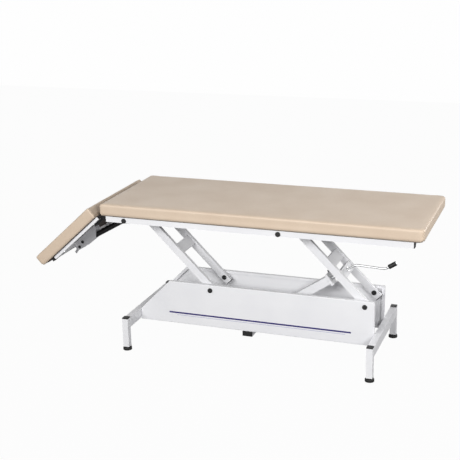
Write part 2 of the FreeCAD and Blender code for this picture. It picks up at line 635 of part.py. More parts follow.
def strut():
    start, face = "-strut_long - strut_tail", "-nut_at - nut_thick"
    half = "strut_wide / 2"
    cross = rod("strut_pin_hole", "y", "strut_pin_radius", ("-" + half, half), ("-strut_long", "0"))
    side = ("-" + half, half)
    node(tube("strut", "x", (start, face), side, side, "strut_wall", [cross]), "strut_tube", SPINDLE_PLACE)
    reach = half + " + bracket_play + bracket_thick + 3"
    pin = rod("strut_pin_bar", "y", "strut_pin_radius", ("-(%s)" % reach, reach), ("-strut_long", "0"))
    node(group("strut_pin", [pin]), "strut_foot_pin", SPINDLE_PLACE)
    wide = ("-nut_wide / 2", "nut_wide / 2")
    block = box("nut_block", (face, "-nut_at"), wide, wide)
    sleeve = rod("nut_sleeve", "x", "strut_wide / 2 - strut_wall - plug_slack",
                 (face + " - nut_sleeve_long", face), ("0", "0"))
    bore = rod("nut_bore", "x", "spindle_radius + run_slack", (face + " - nut_sleeve_long", "-nut_at"),
               ("0", "0"))
    node(cut("nut", join("nut_solid", [block, sleeve]), [bore]), "strut_nut", SPINDLE_PLACE)


def crank():
    # the spindle, its two thrust collars and the bent rod are one turned and bent piece
    inner_end = "swivel_thick / 2 + side_gap"
    shaft = rod("spindle_shaft", "x", "spindle_radius", ("-spindle_long", inner_end + " + collar_thick"),
                ("0", "0"))
    collars = []
    for end, sign in ENDS:
        ends = span(sign, inner_end, inner_end + " + collar_thick")
        collars.append(rod("collar_" + end, "x", "collar_radius", ends, ("0", "0")))
    pieces = [shaft, bent_rod(inner_end + " + collar_thick")] + collars
    node(join("crank_joined", pieces), "crank_spindle", SPINDLE_PLACE)
    ends = ("grip_start + grip_collar_thick + side_gap", "grip_start + grip_collar_thick + side_gap + grip_long")
    grip = ring("grip", "x", "grip_radius", "crank_radius + run_slack", ends, ("0", "-crank_throw"))
    node(grip, "crank_grip", SPINDLE_PLACE)


def bent_rod(start):
    # a pipe along five joined lines and arcs in the XZ plane
    owner = body("crank_rod")
    path = owner.newObject("Sketcher::SketchObject", "crank_path")
    profile_start = number(start)
    for flat in owner.Origin.OriginFeatures:
        if flat.Role == "XZ_Plane":
            path.AttachmentSupport = [(flat, "")]
    path.MapMode = "FlatFace"
    bend, slope = number("crank_bend_radius"), math.radians(number("crank_slope"))
    setback = "crank_bend_radius * tan(crank_slope / 2)"
    back = bend * math.tan(slope / 2)
    first, throw = number("crank_first"), number("crank_throw")
    second = first + throw / math.tan(slope)
    end = "grip_start + grip_collar_thick * 2 + side_gap * 2 + grip_long"
    a = FreeCAD.Vector(profile_start, 0, 0)
    b = FreeCAD.Vector(first - back, 0, 0)
    c = FreeCAD.Vector(first + back * math.cos(slope), -back * math.sin(slope), 0)
    d = FreeCAD.Vector(second - back * math.cos(slope), -throw + back * math.sin(slope), 0)
    e = FreeCAD.Vector(second + back, -throw, 0)
    f = FreeCAD.Vector(number(end), -throw, 0)
    mid_one = FreeCAD.Vector(b.x + bend * math.sin(slope / 2), -bend * (1 - math.cos(slope / 2)), 0)
    mid_two = FreeCAD.Vector(e.x - bend * math.sin(slope / 2), -throw + bend * (1 - math.cos(slope / 2)), 0)
    path.addGeometry(Part.LineSegment(a, b), False)
    path.addGeometry(Part.Arc(b, mid_one, c), False)
    path.addGeometry(Part.LineSegment(c, d), False)
    path.addGeometry(Part.Arc(d, mid_two, e), False)
    path.addGeometry(Part.LineSegment(e, f), False)
    # an arc keeps its ends in counter-clockwise order, so the first bend is joined end to start
    for first_item, first_end, second_item, second_end in ((0, 2, 1, 2), (1, 1, 2, 1), (2, 2, 3, 1), (3, 2, 4, 1)):
        path.addConstraint(Sketcher.Constraint("Tangent", first_item, first_end, second_item, second_end))
    pin_down(path, 0, 1, start, "0")
    path.addConstraint(Sketcher.Constraint("Horizontal", 0))
    path.addConstraint(Sketcher.Constraint("Horizontal", 4))
    for kind, item, point, value in (
            ("DistanceX", 0, 2, "crank_first - " + setback), ("DistanceX", 4, 2, end),
            ("DistanceY", 4, 2, "-crank_throw")):
        rule = path.addConstraint(Sketcher.Constraint(kind, -1, 1, item, point, number(value.replace(
            setback, "0"))))
        path.setExpression("Constraints[%d]" % rule, bound(value))
    for item in (1, 3):
        rule = path.addConstraint(Sketcher.Constraint("Radius", item, bend))
        path.setExpression("Constraints[%d]" % rule, bound("crank_bend_radius"))
    rule = path.addConstraint(Sketcher.Constraint("DistanceX", -1, 1, 3, 2, second + back))
    path.setExpression("Constraints[%d]" % rule,
                       bound("crank_first + crank_throw / tan(crank_slope) + " + setback))
    round_shape = sketch(owner, "crank_section", "YZ", start, (), [("0", "0", "crank_radius")])
    pipe = owner.newObject("PartDesign::AdditivePipe", "crank_pipe")
    pipe.Profile = round_shape
    pipe.Spine = (path, ["Edge%d" % n for n in range(1, 6)])
    owner.Tip = pipe
    doc.recompute()
    stops = []
    for n, low in enumerate(("grip_start", "grip_start + grip_collar_thick + side_gap * 2 + grip_long")):
        stops.append(rod("grip_stop_%d" % n, "x", "crank_radius + 2", (low, low + " + grip_collar_thick"),
                         ("0", "-crank_throw")))
    return join("crank_rod_joined", [owner] + stops)


# The top frame, its board and its cushion

SCREW_PLACES = ("axle_left_x - 50", "axle_left_x + 391", "axle_right_x + 59", "top_right - 90")


def top_frame():
    z = ("rail_low", "rail_high")
    screws = []
    for side, sign in SIDES:
        y = span(sign, "rail_in", "rail_out")
        middle = signed(sign, "rail_out - rail_size / 2")
        holes = []
        for end in ("left", "right"):
            holes.append(rod("rail_axle_hole_%s_%s" % (side, end), "y", "axle_radius", y,
                             ("axle_%s_x" % end, "axle_z")))
        for n, place in enumerate(SCREW_PLACES):
            holes.append(rod("rail_screw_hole_%s_%d" % (side, n), "z", "screw_radius + screw_slack", z,
                             (place, middle)))
            screws.append(screw("board_screw_%s_%d" % (side, n), place, middle, "rail_low", "rail_high"))
        node(tube("top_rail_" + side, "x", ("top_left", "top_right"), y, z, "tube_wall", holes),
             "top_rail_" + side)
    node(group("board_screws_all", screws), "board_screws")
    y = ("-rail_in", "rail_in")
    for end, low in (("head", "top_left"), ("foot", "top_right - rail_size")):
        node(tube("end_tube_" + end, "y", (low, low + " + rail_size"), y, z), "top_%s_end_tube" % end)
    inner = []
    for end in ("left", "right"):
        x = ("cross_%s_x - rail_size / 2" % end, "cross_%s_x + rail_size / 2" % end)
        inner.append(tube("inner_tube_" + end, "y", x, y, z))
    node(group("inner_tubes", inner), "top_inner_tubes")
    plugs = []
    for side, sign in SIDES:
        for end, face in (("left", "top_left"), ("right", "top_right")):
            plugs.append(plug("rail_plug_%s_%s" % (side, end), "x", -1 if end == "left" else 1, face,
                              span(sign, "rail_in", "rail_out"), z))
    node(group("rail_plugs", plugs), "top_rail_plugs")


def screw(name, x, y, low, top):
    # a round-headed screw from below: its head against the tube, its point in the board
    head = rod(name + "_head", "z", "screw_head_radius", (minus(low, "screw_head_thick"), low), (x, y))
    shaft = rod(name + "_shaft", "z", "screw_radius", (low, plus(top, "screw_bite")), (x, y))
    return join(name, [head, shaft])


def upper_axles():
    axles, covers, spacers = [], [], []
    for end in ("left", "right"):
        at = ("axle_%s_x" % end, "axle_z")
        axles.append(rod("axle_" + end, "y", "axle_radius", ("-rail_out", "rail_out"), at))
        for side, sign in SIDES:
            tail = "_%s_%s" % (end, side)
            covers.append(rod("axle_cover" + tail, "y", "cap_radius",
                              span(sign, "rail_out", "rail_out + cap_thick"), at))
            spacers.append(ring("axle_spacer" + tail, "y", "cap_radius", "axle_radius",
                                span(sign, "arm_outer + side_gap", "rail_in"), at))
    node(group("axles", axles), "upper_axles")
    node(group("axle_covers", covers), "axle_caps")
    node(group("axle_spacers_all", spacers), "axle_spacers")


def rounded_board(name, x, z, holes):
    wide = "board_half_wide"
    outline = [(x[0], "-" + wide), (x[1], "-" + wide), (x[1], wide), (x[0], wide)]
    owner = body(name)
    shape = sketch(owner, name + "_outline", "XY", z[0], outline)
    pad(owner, name + "_pad", shape, minus(z[1], z[0]))
    up = FreeCAD.Vector(0, 0, 1)
    soften(owner, name + "_corners", "board_corner", lambda edge: is_along(edge, up))
    drilled = sketch(owner, name + "_drilled", "XY", z[0], (), [(a, b, "screw_radius") for a, b in holes])
    pocket(owner, name + "_holes", drilled, "screw_bite", True)
    return owner


def cushion(name, x, low, last_corner):
    wide = "cushion_half_wide"
    outline = [(x[0], "-" + wide), (x[1], "-" + wide), (x[1], wide), (x[0], wide)]
    owner = body(name)
    shape = sketch(owner, name + "_outline", "XY", low, outline)
    pad(owner, name + "_pad", shape, "cushion_thick")
    up = FreeCAD.Vector(0, 0, 1)
    middle = number(plus(x[0], x[1])) / 2
    soften(owner, name + "_corners", "cushion_corner",
           lambda edge: is_along(edge, up) and edge.BoundBox.XMax < middle)
    soften(owner, name + "_last_corners", last_corner,
           lambda edge: is_along(edge, up) and edge.BoundBox.XMin > middle)
    top = number(plus(low, "cushion_thick"))
    soften(owner, name + "_rim", "cushion_round", lambda edge: lies_at(edge, "z", top))
    base = number(low)
    soften(owner, name + "_low_rim", "cushion_round_low", lambda edge: lies_at(edge, "z", base))
    return owner


def main_board_and_cushion():
    spots = []
    for sign in (-1, 1):
        for place in SCREW_PLACES:
            spots.append((place, signed(sign, "rail_out - rail_size / 2")))
    node(rounded_board("board", ("board_left", "board_right"), ("rail_high", "board_top"), spots), "main_board")
    x = ("board_left - cushion_over", "board_right + cushion_over")
    node(cushion("main_pad", x, "board_top + cushion_gap", "cushion_foot_corner"), "main_cushion")


def head_hinge():
    # plates on the end of the top frame carry the pins, the head section's lugs turn on them
    inner = "rail_in - hinge_plate_thick * 2 - hinge_plate_gap"
    plates, pins = [], []
    for side, sign in SIDES:
        y = span(sign, inner, inner + " + hinge_plate_thick")
        block = box("hinge_block_" + side, ("hinge_x", "top_left"), y,
                    ("hinge_z - hinge_plate_radius + 2", "hinge_z + hinge_plate_radius"))
        nose = rod("hinge_nose_" + side, "y", "hinge_plate_radius", y, ("hinge_x", "hinge_z"))
        hole = rod("hinge_hole_" + side, "y", "hinge_pin_radius", y, ("hinge_x", "hinge_z"))
        plates.append(cut("hinge_plate_" + side, join("hinge_solid_" + side, [block, nose]), [hole]))
        head = rod("hinge_pin_head_" + side, "y", "pin_head_radius",
                   span(sign, inner + " - pin_head_thick", inner), ("hinge_x", "hinge_z"))
        shaft = rod("hinge_pin_shaft_" + side, "y", "hinge_pin_radius",
                    span(sign, inner, "rail_in - side_gap"), ("hinge_x", "hinge_z"))
        pins.append(join("hinge_pin_" + side, [head, shaft]))
    node(group("hinge_plates", plates), "head_hinge_plates")
    node(group("hinge_pins", pins), "head_hinge_pins")


def gas_spring_hanger():
    # two plates under the end tube; the gas spring's upper pin has room to drift in their holes
    left, right = "top_left", "top_left + rail_size"
    outline = [(left, "rail_low"), (left, "spring_high_z - 14"), ("spring_high_x - 12", "spring_high_z - 25"),
               ("spring_high_x + 18", "spring_high_z - 25"), ("spring_high_x + 28", "spring_high_z - 14"),
               ("spring_high_x + 28", "spring_high_z + 10"), (right, "rail_low")]
    hole = ("spring_high_x + spring_hole_shift_x", "spring_high_z - spring_hole_drop", "spring_hole_radius")
    plates = []
    for side, sign in SIDES:
        near, far = span(sign, "hanger_half_gap", "hanger_half_gap + cheek_thick")
        plates.append(plate("hanger_" + side, "XZ", (plus("spring_y", near), plus("spring_y", far)), outline,
                            [hole]))
    node(group("hangers", plates), "gas_spring_hanger")


# The head section, drawn level with its hinge at the origin

HEAD_PLACE = ("hinge_x", "hinge_z", "head_angle")
HEAD_SCREWS = ("head_start - 50", "head_end + 60")


def head_frame():
    z = ("head_tube_low", "head_tube_top")
    x = ("head_end", "head_start")
    tubes, lugs, plugs, screws = [], [], [], []
    for side, sign in SIDES:
        y = span(sign, "rail_in", "rail_out")
        middle = signed(sign, "rail_out - rail_size / 2")
        holes = []
        for n, place in enumerate(HEAD_SCREWS):
            holes.append(rod("head_screw_hole_%s_%d" % (side, n), "z", "screw_radius + screw_slack", z,
                             (place, middle)))
            screws.append(screw("head_screw_%s_%d" % (side, n), place, middle, "head_tube_low",
                                "head_tube_top"))
        tubes.append(tube("head_tube_" + side, "x", x, y, z, "tube_wall", holes))
        for end, sign_x, face, flange in (("in", 1, "head_start", "plug_flange / 2"),
                                          ("out", -1, "head_end", "head_cap_long")):
            plugs.append(plug("head_plug_%s_%s" % (side, end), "x", sign_x, face, y, z, flange))
        lug_y = span(sign, "rail_in - hinge_plate_thick", "rail_in")
        block = box("lug_block_" + side, ("-lug_tail", "0"), lug_y, ("-hinge_plate_radius / 2", "hinge_plate_radius"))
        tab = box("lug_tab_" + side, ("-lug_tail", "head_start"), lug_y, ("hinge_plate_radius", "head_tube_top"))
        nose = rod("lug_nose_" + side, "y", "hinge_plate_radius", lug_y, ("0", "0"))
        hole = rod("lug_hole_" + side, "y", "hinge_pin_radius + run_slack", lug_y, ("0", "0"))
        lugs.append(cut("lug_" + side, join("lug_solid_" + side, [block, tab, nose]), [hole]))
    node(group("head_tubes", tubes), "head_side_tubes", HEAD_PLACE)
    node(group("head_lugs_all", lugs), "head_lugs", HEAD_PLACE)
    node(group("head_plugs", plugs), "head_tube_plugs", HEAD_PLACE)
    node(group("head_screws", screws), "head_board_screws", HEAD_PLACE)
    node(tube("head_cross", "y", ("head_end", "head_end + rail_size"), ("-rail_in", "rail_in"), z),
         "head_cross_tube", HEAD_PLACE)


def head_board_and_cushion():
    top = "head_tube_top + board_thick"
    spots = [(place, signed(sign, "rail_out - rail_size / 2")) for sign in (-1, 1) for place in HEAD_SCREWS]
    x = ("head_board_start - head_board_long", "head_board_start")
    node(rounded_board("head_panel", x, ("head_tube_top", top), spots), "head_board", HEAD_PLACE)
    x = ("head_board_start - head_board_long - cushion_over", "head_board_start + cushion_over")
    node(cushion("head_pad", x, top + " + cushion_gap", "cushion_corner"), "head_cushion", HEAD_PLACE)


def head_bracket():
    # a folded channel, open downwards, that holds the rod's eye and the release lever
    top, step = "head_tube_top", "head_tube_low"
    bar = "head_end + rail_size"
    outline = [("spring_head_x - 55", "spring_head_z - 17"), ("spring_head_x - 5", "spring_head_z - 27"),
               ("spring_head_x + 74", "spring_head_z - 31"), ("spring_head_x + 110", "spring_head_z + 1"),
               ("spring_head_x + 110", top), (bar, top), (bar, step), ("spring_head_x - 55", step)]
    holes = [("spring_head_x", "spring_head_z", "spring_pin_radius"), ("lever_x", "lever_z", "lever_pin_radius")]
    pieces = []
    for side, sign in SIDES:
        near, far = span(sign, "cheek_half_gap", "cheek_half_gap + cheek_thick")
        pieces.append(plate("cheek_" + side, "XZ", (plus("spring_y", near), plus("spring_y", far)), outline,
                            holes))
    web = box("cheek_web", (bar, "spring_head_x + 110"), ("spring_y - cheek_half_gap", "spring_y + cheek_half_gap"),
              (minus(top, "cheek_thick"), top))
    node(join("cheeks", pieces + [web]), "head_bracket", HEAD_PLACE)
    reach = "cheek_half_gap + cheek_thick"
    pins = []
    for name, at, radius in (("spring", ("spring_head_x", "spring_head_z"), "spring_pin_radius"),
                             ("lever", ("lever_x", "lever_z"), "lever_pin_radius")):
        pieces = [rod(name + "_pin", "y", radius, ("spring_y - (%s)" % reach, "spring_y + " + reach), at)]
        for side, sign in SIDES:
            near, far = span(sign, reach, reach + " + pin_head_thick")
            pieces.append(rod("%s_pin_head_%s" % (name, side), "y", radius + " + 3",
                              (plus("spring_y", near), plus("spring_y", far)), at))
        pins.append(join(name + "_pin_joined", pieces))
    node(group("head_pins", pins), "head_bracket_pins", HEAD_PLACE)


def release_lever():
    low, high = "-lever_wide / 2", "lever_wide / 2"
    outline = [("13", low), ("13", high), ("-lever_long / 2", high), ("-lever_long", "0"),
               ("-lever_long", "-lever_wide"), ("-lever_long / 2", low)]
    thick = ("spring_y - lever_thick / 2", "spring_y + lever_thick / 2")
    holes = [("0", "0", "lever_pin_radius + run_slack")]
    x = "hinge_x + lever_x * cos(head_angle) + lever_z * sin(head_angle)"
    z = "hinge_z - lever_x * sin(head_angle) + lever_z * cos(head_angle)"
    node(plate("lever", "XZ", thick, outline, holes), "release_lever", (x, z, "head_angle"))


# The gas spring, drawn along +X from its pin on the head section

SPRING_PLACE = ("spring_low_x", "spring_low_z", "-spring_angle")


def gas_spring():
    eye = ("spring_y - eye_thick / 2", "spring_y + eye_thick / 2")
    at = ("spring_y", "0")
    ring_part = rod("rod_eye", "y", "eye_radius", eye, ("0", "0"))
    stem = rod("rod_stem", "x", "gas_rod_radius", ("eye_radius - eye_seat", "gas_rod_long"), at)
    piston = rod("rod_piston", "x", "gas_cylinder_radius - gas_cylinder_wall - plug_slack",
                 ("gas_rod_long", "gas_rod_long + piston_thick"), at)
    hole = rod("rod_eye_hole", "y", "spring_pin_radius + run_slack", eye, ("0", "0"))
    node(cut("gas_rod_cut", join("gas_rod_solid", [ring_part, stem, piston]), [hole]), "gas_rod", SPRING_PLACE)
    start, end = "gas_cylinder_start", "gas_cylinder_start + gas_cylinder_long"
    shell = rod("cylinder_shell", "x", "gas_cylinder_radius", (start, end), at)
    neck = rod("cylinder_neck", "x", "gas_rod_radius", (end, "spring_long - eye_radius + eye_seat"), at)
    eye_part = rod("cylinder_eye", "y", "eye_radius", eye, ("spring_long", "0"))
    room = rod("cylinder_room", "x", "gas_cylinder_radius - gas_cylinder_wall",
               (start + " + gas_end_thick", end + " - gas_end_thick"), at)
    guide = rod("cylinder_guide", "x", "gas_rod_radius + run_slack", (start, start + " + gas_end_thick"), at)
    hole = rod("cylinder_eye_hole", "y", "gas_pin_radius", eye, ("spring_long", "0"))
    node(cut("cylinder_cut", join("cylinder_solid", [shell, neck, eye_part]), [room, guide, hole]),
         "gas_cylinder", SPRING_PLACE)
    reach = "hanger_half_gap + cheek_thick + 2"
    pin = rod("cylinder_pin", "y", "gas_pin_radius", ("spring_y - (%s)" % reach, "spring_y + " + reach),
              ("spring_long", "0"))
    node(group("cylinder_pin_group", [pin]), "gas_cylinder_pin", SPRING_PLACE)


foot_crossbars()
foot_posts()
side_panels()
middle_tube()
strut_bracket()
base_pivots()
lifting_arm("left", "pivot_left_x", False)
lifting_arm("right", "pivot_right_x", True)
swivel_bar()
strut()
crank()
top_frame()
upper_axles()
main_board_and_cushion()
head_hinge()
gas_spring_hanger()
head_frame()
head_board_and_cushion()
head_bracket()
release_lever()
gas_spring()
doc.recompute()

for item in doc.Objects:
    if "Invalid" in item.State or "Error" in item.State:
        raise RuntimeError("%s did not build: %s" % (item.Name, item.State))
for item in NODES:
    if item.Shape.isNull() or not item.Shape.isValid():
        raise RuntimeError("%s has no valid shape" % item.Label)
    item.Shape.exportStep("parts/%s.step" % item.Label)
    limits = item.Shape.BoundBox
    print("%-24s %2d solids %10.0f mm3  x %8.1f %8.1f  y %7.1f %7.1f  z %7.1f %7.1f" % (
        item.Label, len(item.Shape.Solids), item.Shape.Volume,
        limits.XMin, limits.XMax, limits.YMin, limits.YMax, limits.ZMin, limits.ZMax))
print(len(NODES), "sub-parts")
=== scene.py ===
# %% [markdown]
# # A height-adjustable treatment table, dressed for a studio picture
# The hard parts of the table (tubes, sheet panels, pivots, crank) come ready made from the packed
# model, and this script never moves them. It gives every one of them the finish that its real
# material has, and it models what a CAD solid can't show well: the two upholstered cushions with
# their seams, the weld beads, the spindle's thread, a small screw and the stripes on the panels.

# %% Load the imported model
import json
import math

import bmesh
import bpy
from mathutils import Matrix, Vector


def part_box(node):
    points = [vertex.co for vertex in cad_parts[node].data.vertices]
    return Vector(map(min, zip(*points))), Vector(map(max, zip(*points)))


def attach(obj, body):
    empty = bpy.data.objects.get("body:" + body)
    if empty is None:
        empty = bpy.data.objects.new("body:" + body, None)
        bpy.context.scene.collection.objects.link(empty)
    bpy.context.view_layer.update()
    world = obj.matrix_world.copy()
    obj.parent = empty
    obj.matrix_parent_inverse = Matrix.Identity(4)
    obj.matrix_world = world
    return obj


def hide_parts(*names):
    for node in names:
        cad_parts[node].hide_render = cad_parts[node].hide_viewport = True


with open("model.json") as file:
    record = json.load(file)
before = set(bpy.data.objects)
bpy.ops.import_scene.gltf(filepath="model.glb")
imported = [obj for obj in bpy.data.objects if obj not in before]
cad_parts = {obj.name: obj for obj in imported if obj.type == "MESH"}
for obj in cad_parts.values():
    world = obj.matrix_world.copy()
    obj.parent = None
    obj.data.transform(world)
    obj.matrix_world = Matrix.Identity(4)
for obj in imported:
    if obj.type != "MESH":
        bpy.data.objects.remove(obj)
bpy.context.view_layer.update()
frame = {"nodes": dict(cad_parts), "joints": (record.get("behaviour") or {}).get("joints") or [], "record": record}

# %% [markdown]
# ## Small helpers
# Blender's operators act on whatever is selected, and the loaded nodes arrive selected, so each
# modelling step starts from an empty selection. Every piece made here ends with its object at the
# origin and its place in its mesh, exactly as the loaded nodes have it, so that patterns in object
# coordinates mean the same thing on all of them.

# %% Helpers for modelling
def deselect():
    bpy.ops.object.select_all(action="DESELECT")


def make_active(obj):
    deselect()
    obj.select_set(True)
    bpy.context.view_layer.objects.active = obj


def settle(obj, name):
    # put the object's place and size into its mesh
    make_active(obj)
    bpy.ops.object.transform_apply(location=True, rotation=True, scale=True)
    obj.name = name
    obj.data.name = name
    return obj


def block(name, low, high):
    # a block between two corners, as the start of a piece
    deselect()
    middle = [(a + b) / 2 for a, b in zip(low, high)]
    bpy.ops.mesh.primitive_cube_add(size=1, location=middle)
    obj = bpy.context.object
    obj.scale = [b - a for a, b in zip(low, high)]
    return settle(obj, name)


def choose(obj, kind, wanted):
    # in edit mode, select the edges or faces that pass a test
    bpy.ops.mesh.select_all(action="DESELECT")
    mesh = bmesh.from_edit_mesh(obj.data)
    mesh.normal_update()
    count = 0
    for item in (mesh.edges if kind == "EDGE" else mesh.faces):
        if wanted(item):
            item.select_set(True)
            count += 1
    bmesh.update_edit_mesh(obj.data)
    return count


def edit(obj, mode="EDGE"):
    make_active(obj)
    bpy.ops.object.mode_set(mode="EDIT")
    bpy.ops.mesh.select_mode(type=mode)


def done():
    bpy.ops.object.mode_set(mode="OBJECT")


def finish(obj, *modifiers):
    # add modifiers with their settings and apply them in order
    make_active(obj)
    for kind, settings in modifiers:
        modifier = obj.modifiers.new(kind.title(), kind)
        for key, value in settings.items():
            setattr(modifier, key, value)
        bpy.ops.object.modifier_apply(modifier=modifier.name)
    return obj


# %% [markdown]
# ## Colours and shader nodes
# Colours are written as the hex values that a paint chart or a picture editor shows. Shaders work
# in linear light, so one function converts them. A second small function adds any shader node with
# its settings and its links, which keeps each material readable as a short list of nodes.

# %% Helpers for materials
def colour(hex_value):
    parts = [int(hex_value[n:n + 2], 16) / 255 for n in (1, 3, 5)]
    return tuple(p / 12.92 if p <= 0.04045 else ((p + 0.055) / 1.055) ** 2.4 for p in parts) + (1.0,)


def add(tree, kind, inputs=None, **settings):
    # an input is either a value for the socket or another node's output to link to it
    node = tree.nodes.new(kind)
    for key, value in settings.items():
        setattr(node, key, value)
    for key, value in (inputs or {}).items():
        if isinstance(value, bpy.types.NodeSocket):
            tree.links.new(value, node.inputs[key])
        else:
            node.inputs[key].default_value = value
    return node


def surface(name, **constants):
    # a material with one Principled shader, whose constants are given by socket name
    material = bpy.data.materials.new(name)
    material.use_nodes = True
    tree = material.node_tree
    shader = tree.nodes["Principled BSDF"]
    for key, value in constants.items():
        shader.inputs[key.replace("_", " ")].default_value = value
    coordinates = add(tree, "ShaderNodeTexCoord").outputs["Object"]
    return material, tree, shader, coordinates


def blend_colours(tree, factor, first, second):
    return add(tree, "ShaderNodeMix", {0: factor, 6: colour(first), 7: colour(second)},
               data_type="RGBA").outputs[2]


def spread(tree, value, low, high, to_low, to_high):
    # map a pattern's range to another range
    inputs = {"Value": value, "From Min": low, "From Max": high, "To Min": to_low, "To Max": to_high}
    return add(tree, "ShaderNodeMapRange", inputs).outputs["Result"]


def relief(tree, height, strength, millimetres):
    return add(tree, "ShaderNodeBump", {"Height": height, "Strength": strength,
               "Distance": millimetres / 1000}).outputs["Normal"]


def noise(tree, where, millimetres, detail=3.0, roughness=0.5):
    # the pattern's scale follows from the real size of its blotches
    inputs = {"Vector": where, "Scale": 1000 / millimetres, "Detail": detail, "Roughness": roughness}
    return add(tree, "ShaderNodeTexNoise", inputs).outputs["Fac"]


# %% [markdown]
# ## White powder coat
# The frame is welded steel tube and folded sheet with a baked polyester powder coat. The powder
# flows out to an even, slightly orange-peeled skin: satin gloss, no grain, and a faint waviness
# with lumps about 1.5 mm apart. That size barely shows in a full view, so its relief is kept low.

# %% Powder coat
def powder_coat(name, clean, shaded, roughness):
    material, tree, shader, where = surface(name, Roughness=roughness, IOR=1.5, Coat_Weight=0.15,
                                            Coat_Roughness=0.12)
    cloudy = noise(tree, where, millimetres=220, detail=2)
    peel = noise(tree, where, millimetres=1.6, detail=2)
    base = blend_colours(tree, spread(tree, cloudy, 0.35, 0.65, 0.0, 1.0), clean, shaded)
    tree.links.new(base, shader.inputs["Base Color"])
    tree.links.new(relief(tree, peel, strength=0.12, millimetres=0.08), shader.inputs["Normal"])
    return material


white_coat = powder_coat("white_powder_coat", "#EBEBED", "#E6E6E9", 0.34)
grey_coat = powder_coat("light_grey_powder_coat", "#DCDCDF", "#D6D6DA", 0.36)

# %% [markdown]
# ## Leatherette
# The cushions are covered with a coated fabric: PVC on a knitted backing, embossed with a leather
# grain. The grain is a net of soft pebbles about two millimetres across with finer wrinkles
# between them. A cell pattern gives the pebbles and a noise breaks them up. The coat is satin, so
# it greys a little where it mirrors the bright room at a flat angle.

# %% Leatherette
# millimetres from one pebble of the grain to the next
PEBBLE = 1.9


def leatherette(name, light, dark):
    material, tree, shader, where = surface(name, Roughness=0.46, IOR=1.48, Sheen_Weight=0.12,
                                            Sheen_Roughness=0.45)
    pebbles = add(tree, "ShaderNodeTexVoronoi", {"Vector": where, "Scale": 1000 / PEBBLE,
                  "Randomness": 0.9}, feature="SMOOTH_F1").outputs["Distance"]
    wrinkles = noise(tree, where, millimetres=0.9, detail=3)
    height = add(tree, "ShaderNodeMath", {0: pebbles, 1: wrinkles}, operation="ADD").outputs[0]
    cloudy = noise(tree, where, millimetres=160, detail=3)
    base = blend_colours(tree, spread(tree, cloudy, 0.3, 0.7, 0.0, 1.0), light, dark)
    valleys = add(tree, "ShaderNodeMix", {0: spread(tree, pebbles, 0.25, 0.75, 0.0, 0.18), 6: base,
                  7: colour("#A08A74")}, data_type="RGBA").outputs[2]
    tree.links.new(valleys, shader.inputs["Base Color"])
    tree.links.new(spread(tree, cloudy, 0.3, 0.7, 0.42, 0.52), shader.inputs["Roughness"])
    tree.links.new(relief(tree, height, strength=0.25, millimetres=0.25), shader.inputs["Normal"])
    return material


leather = leatherette("beige_leatherette", "#D4C1AC", "#CEBAA5")

# %% [markdown]
# ## Moulded plastic and rubber
# Plugs, caps and the crank's grip are injection-moulded polyethylene and nylon with a fine spark
# texture from the mould. The feet are a harder, duller rubber that picks up dust.

# %% Plastics and rubber
def moulded(name, base, worn, roughness, grain):
    material, tree, shader, where = surface(name, IOR=1.49)
    patches = noise(tree, where, millimetres=14, detail=3)
    texture = noise(tree, where, millimetres=grain, detail=2)
    tree.links.new(blend_colours(tree, spread(tree, patches, 0.4, 0.7, 0.0, 1.0), base, worn),
                   shader.inputs["Base Color"])
    tree.links.new(spread(tree, patches, 0.3, 0.7, roughness - 0.05, roughness + 0.07),
                   shader.inputs["Roughness"])
    tree.links.new(relief(tree, texture, strength=0.25, millimetres=0.06), shader.inputs["Normal"])
    return material


black_plastic = moulded("black_moulded_plastic", "#101011", "#171718", 0.5, 0.5)
white_nylon = moulded("natural_nylon", "#D9D6CB", "#CFCBBE", 0.4, 0.5)
black_rubber = moulded("black_foot_rubber", "#0F0F0F", "#1B1B1A", 0.75, 0.8)

# %% [markdown]
# ## Steel
# The bolts, axles and crank are zinc plated, which is bright with a soft, cloudy lustre. The rod of
# the gas spring is ground and chromed. Its cylinder has a smooth black paint.

# %% Plated, blackened and chromed steel
def steel(name, light, dark, roughness, cloud):
    material, tree, shader, where = surface(name, Metallic=1.0)
    patches = noise(tree, where, millimetres=cloud, detail=3)
    scratches = add(tree, "ShaderNodeMapping", {"Vector": where, "Scale": (1.0, 8.0, 1.0)}).outputs[0]
    fine = noise(tree, scratches, millimetres=2.5, detail=4, roughness=0.7)
    tree.links.new(blend_colours(tree, spread(tree, patches, 0.35, 0.65, 0.0, 1.0), light, dark),
                   shader.inputs["Base Color"])
    tree.links.new(spread(tree, fine, 0.3, 0.7, roughness - 0.06, roughness + 0.06),
                   shader.inputs["Roughness"])
    tree.links.new(relief(tree, fine, strength=0.06, millimetres=0.03), shader.inputs["Normal"])
    return material


zinc = steel("zinc_plated_steel", "#E2E3E3", "#D5D6D8", 0.34, 9)
black_steel = steel("blackened_steel", "#4A4A4C", "#3A3A3C", 0.42, 12)
chrome = steel("hard_chromed_rod", "#DADBDC", "#D2D3D5", 0.12, 30)
black_paint = powder_coat("smooth_black_paint", "#161617", "#1C1C1E", 0.3)
